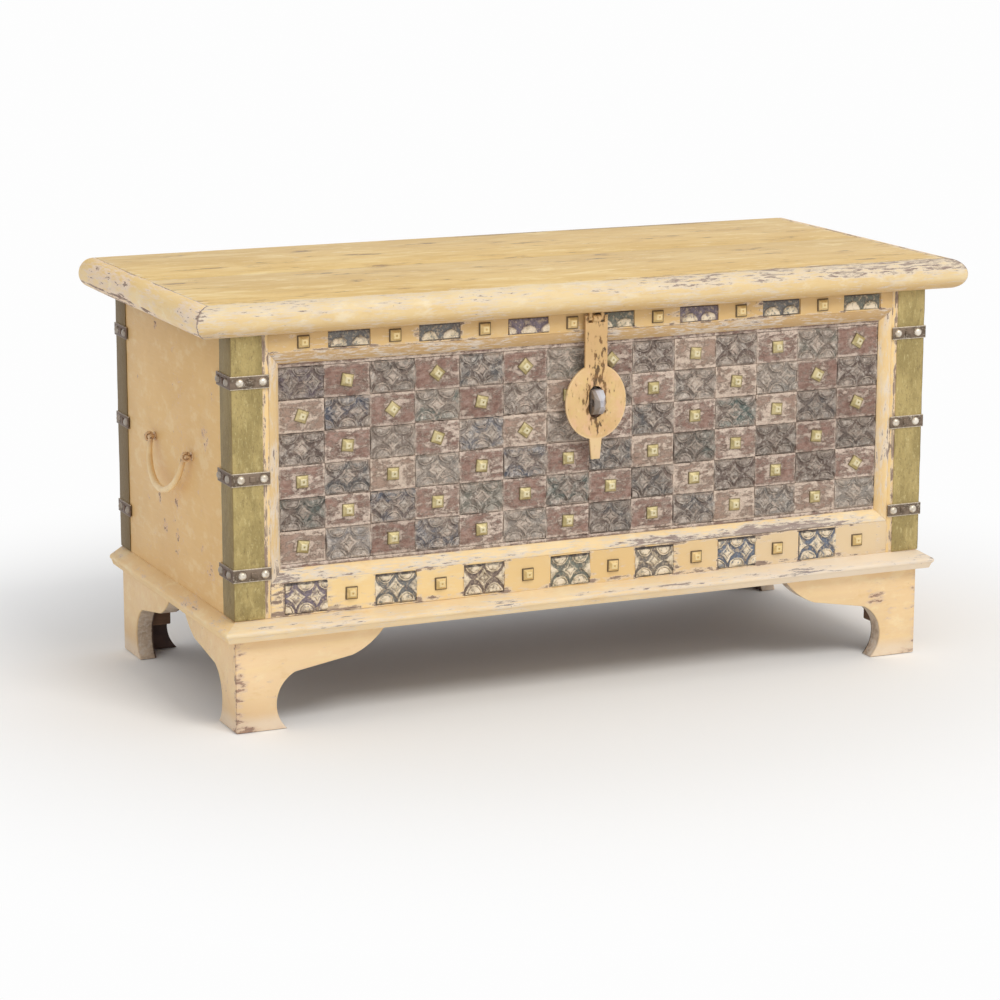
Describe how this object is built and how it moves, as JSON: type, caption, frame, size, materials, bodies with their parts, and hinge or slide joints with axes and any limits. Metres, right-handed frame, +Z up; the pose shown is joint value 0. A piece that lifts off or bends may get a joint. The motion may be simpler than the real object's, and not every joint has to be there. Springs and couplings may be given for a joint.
{
  "type": "wooden trunk",
  "caption": "Wooden trunk on bracket feet with a framed front of carved tiles and brass studs, a hinged lid, a swinging hasp over a staple, corner straps and bail handles.",
  "frame": {"origin": "on the floor, at the middle of the trunk's bounding box", "axes": "+X along the trunk to the viewer's right, +Y from the carved front to the back, +Z up"},
  "size_m": [0.9, 0.4092, 0.45],
  "materials": {
    "cream_paint": "old cream paint, rubbed and chipped on the edges",
    "lid_wood": "golden wash over open grain, streaked along the planks",
    "end_wood": "thin golden paint, chipped to dark wood",
    "panel_wood": "dark brown paint with pale scuffs",
    "carved_wood": "grey-green carved relief with blue and purple remains in the grooves",
    "bare_wood": "bare darkened wood",
    "brass": "dull brass, mottled olive gold",
    "dark_iron": "dark iron, worn smooth",
    "bright_nail": "bright worn domes",
    "painted_iron": "cream paint chipped to brown iron"
  },
  "bodies": {
    "trunk": {"back_board_lower": "bare_wood", "back_board_upper": "bare_wood", "base_moulding_front": "cream_paint", "base_moulding_left": "cream_paint", "base_moulding_right": "cream_paint", "base_rail_back": "bare_wood", "bottom_board_front": "bare_wood", "bottom_board_rear": "bare_wood", "brass_angle_back_left": "brass", "brass_angle_back_right": "brass", "brass_angle_front_left": "brass", "brass_angle_front_right": "brass", "carved_tiles_panel": "carved_wood", "carved_tiles_rails": "carved_wood", "corner_straps_back": "dark_iron", "corner_straps_front": "dark_iron", "foot_back_left_end": "cream_paint", "foot_back_left_long": "cream_paint", "foot_back_right_end": "cream_paint", "foot_back_right_long": "cream_paint", "foot_blocks": "bare_wood", "foot_front_left_end": "cream_paint", "foot_front_left_long": "cream_paint", "foot_front_right_end": "cream_paint", "foot_front_right_long": "cream_paint", "front_bottom_rail": "cream_paint", "front_panel": "panel_wood", "front_stile_left": "cream_paint", "front_stile_right": "cream_paint", "front_top_rail": "cream_paint", "handle_eyes": "painted_iron", "hinge_leaves_lower": "dark_iron", "hinge_nails_body": "dark_iron", "hinge_pins": "dark_iron", "lock_staple": "dark_iron", "panel_bead_bottom": "cream_paint", "panel_bead_left": "cream_paint", "panel_bead_right": "cream_paint", "panel_bead_top": "cream_paint", "panel_studs": "brass", "rail_studs": "brass", "side_board_left": "end_wood", "side_board_right": "end_wood", "strap_nails": "bright_nail"},
    "lid": {"lid_plank_front": "lid_wood", "lid_plank_rear": "lid_wood", "lid_edge_front": "cream_paint", "lid_edge_left": "cream_paint", "lid_edge_right": "cream_paint", "lid_rim_rails": "bare_wood", "lid_battens": "bare_wood", "hinge_leaves_upper": "dark_iron", "hinge_nails_lid": "dark_iron", "hasp_eye": "painted_iron"},
    "hasp": {"hasp": "painted_iron"},
    "handle_left": {"handle_bail_left": "painted_iron"},
    "handle_right": {"handle_bail_right": "painted_iron"}
  },
  "joints": [
    {"name": "lid_hinge", "type": "hinge", "parent": "trunk", "child": "lid", "pos_m": [0, 0.20015, 0.417], "axis": [-1, 0, 0], "range_deg": [0, 100]},
    {"name": "hasp_swing", "type": "hinge", "parent": "lid", "child": "hasp", "pos_m": [0, -0.18875, 0.4105], "axis": [-1, 0, 0], "range_deg": [0, 120]},
    {"name": "handle_left_swing", "type": "hinge", "parent": "trunk", "child": "handle_left", "pos_m": [-0.414, 0.00635, 0.27], "axis": [0, 1, 0], "range_deg": [0, 85]},
    {"name": "handle_right_swing", "type": "hinge", "parent": "trunk", "child": "handle_right", "pos_m": [0.414, 0.00635, 0.27], "axis": [0, -1, 0], "range_deg": [0, 85]}
  ]
}
